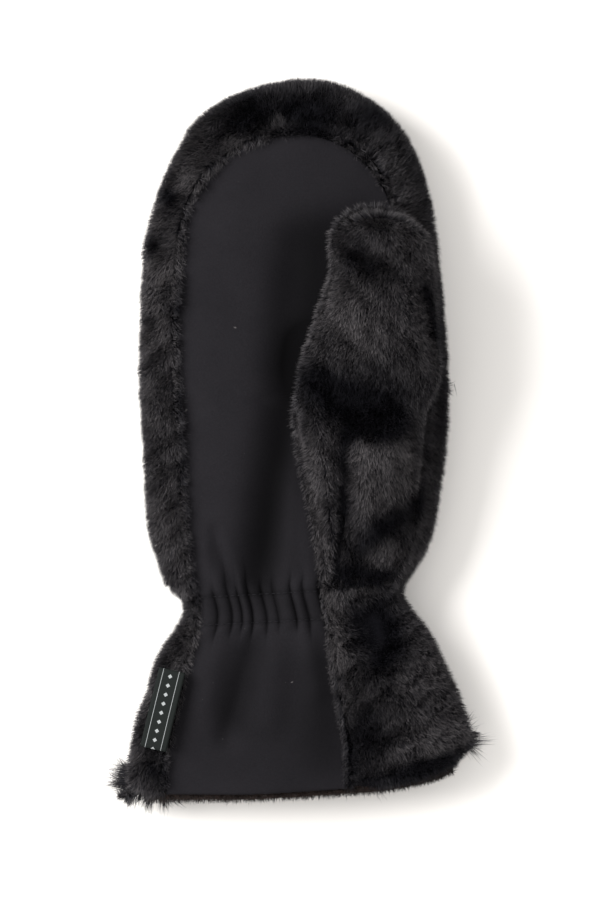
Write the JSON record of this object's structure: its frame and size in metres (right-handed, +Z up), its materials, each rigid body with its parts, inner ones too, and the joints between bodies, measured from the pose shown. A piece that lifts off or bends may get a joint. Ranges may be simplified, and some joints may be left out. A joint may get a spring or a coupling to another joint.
{
  "type": "fur mitten",
  "caption": "Right-hand mitten in black deep-pile fur with a smooth gathered palm panel, a fur thumb, a flared cuff and a plain side label.",
  "frame": {"origin": "on the table under the palm, on the flat of the pressed fur, close to the middle of the length", "axes": "+X to the thumb side, +Y to the fingertips, +Z up out of the palm"},
  "size_m": [0.1526, 0.2919, 0.0565],
  "materials": {
    "softshell": "matt brushed softshell",
    "fur": "deep glossy pile",
    "plush": "short plush",
    "woven_label": "woven satin tape with a light plain pattern"
  },
  "bodies": {
    "root": {"palm_panel": "softshell", "fur_back": "fur", "fur_thumb": "fur", "cuff_lining": "plush", "side_label": "woven_label"}
  },
  "joints": []
}
